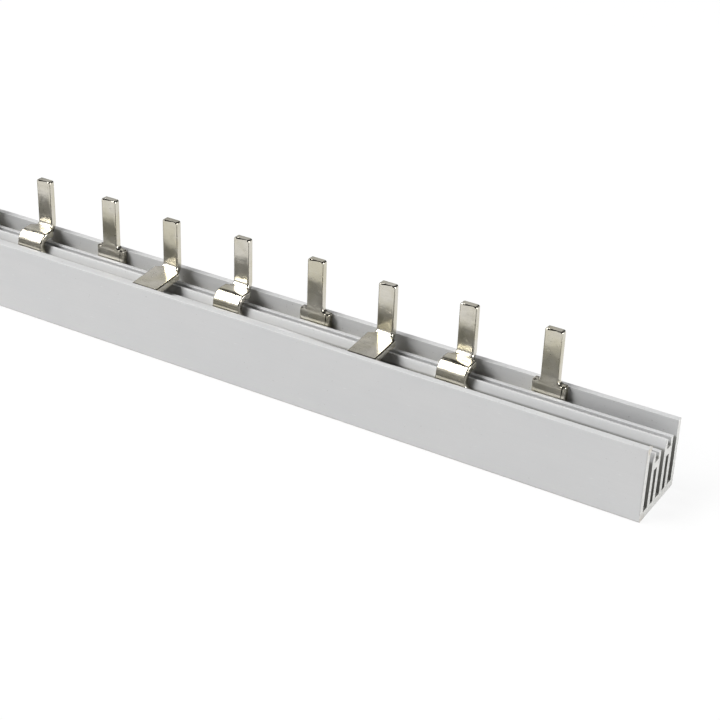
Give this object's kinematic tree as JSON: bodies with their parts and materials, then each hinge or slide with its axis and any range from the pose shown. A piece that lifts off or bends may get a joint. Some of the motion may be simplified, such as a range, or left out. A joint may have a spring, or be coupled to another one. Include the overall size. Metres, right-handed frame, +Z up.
{
  "type": "comb busbar",
  "caption": "Comb busbar: copper combs in a grey slotted profile, with flat upright blades that feed a row of modular circuit breakers.",
  "frame": {"origin": "middle of the profile's underside", "axes": "+X along the bar towards the end that the picture shows, +Z up along the blades, -Y to the tall wall"},
  "size_m": [0.2478, 0.016, 0.0266],
  "materials": {
    "insulation": "satin",
    "plated_copper": "polished"
  },
  "bodies": {
    "root": {"insulating_profile": "insulation", "front_comb": "plated_copper", "middle_comb": "plated_copper", "rear_comb": "plated_copper"}
  },
  "joints": []
}
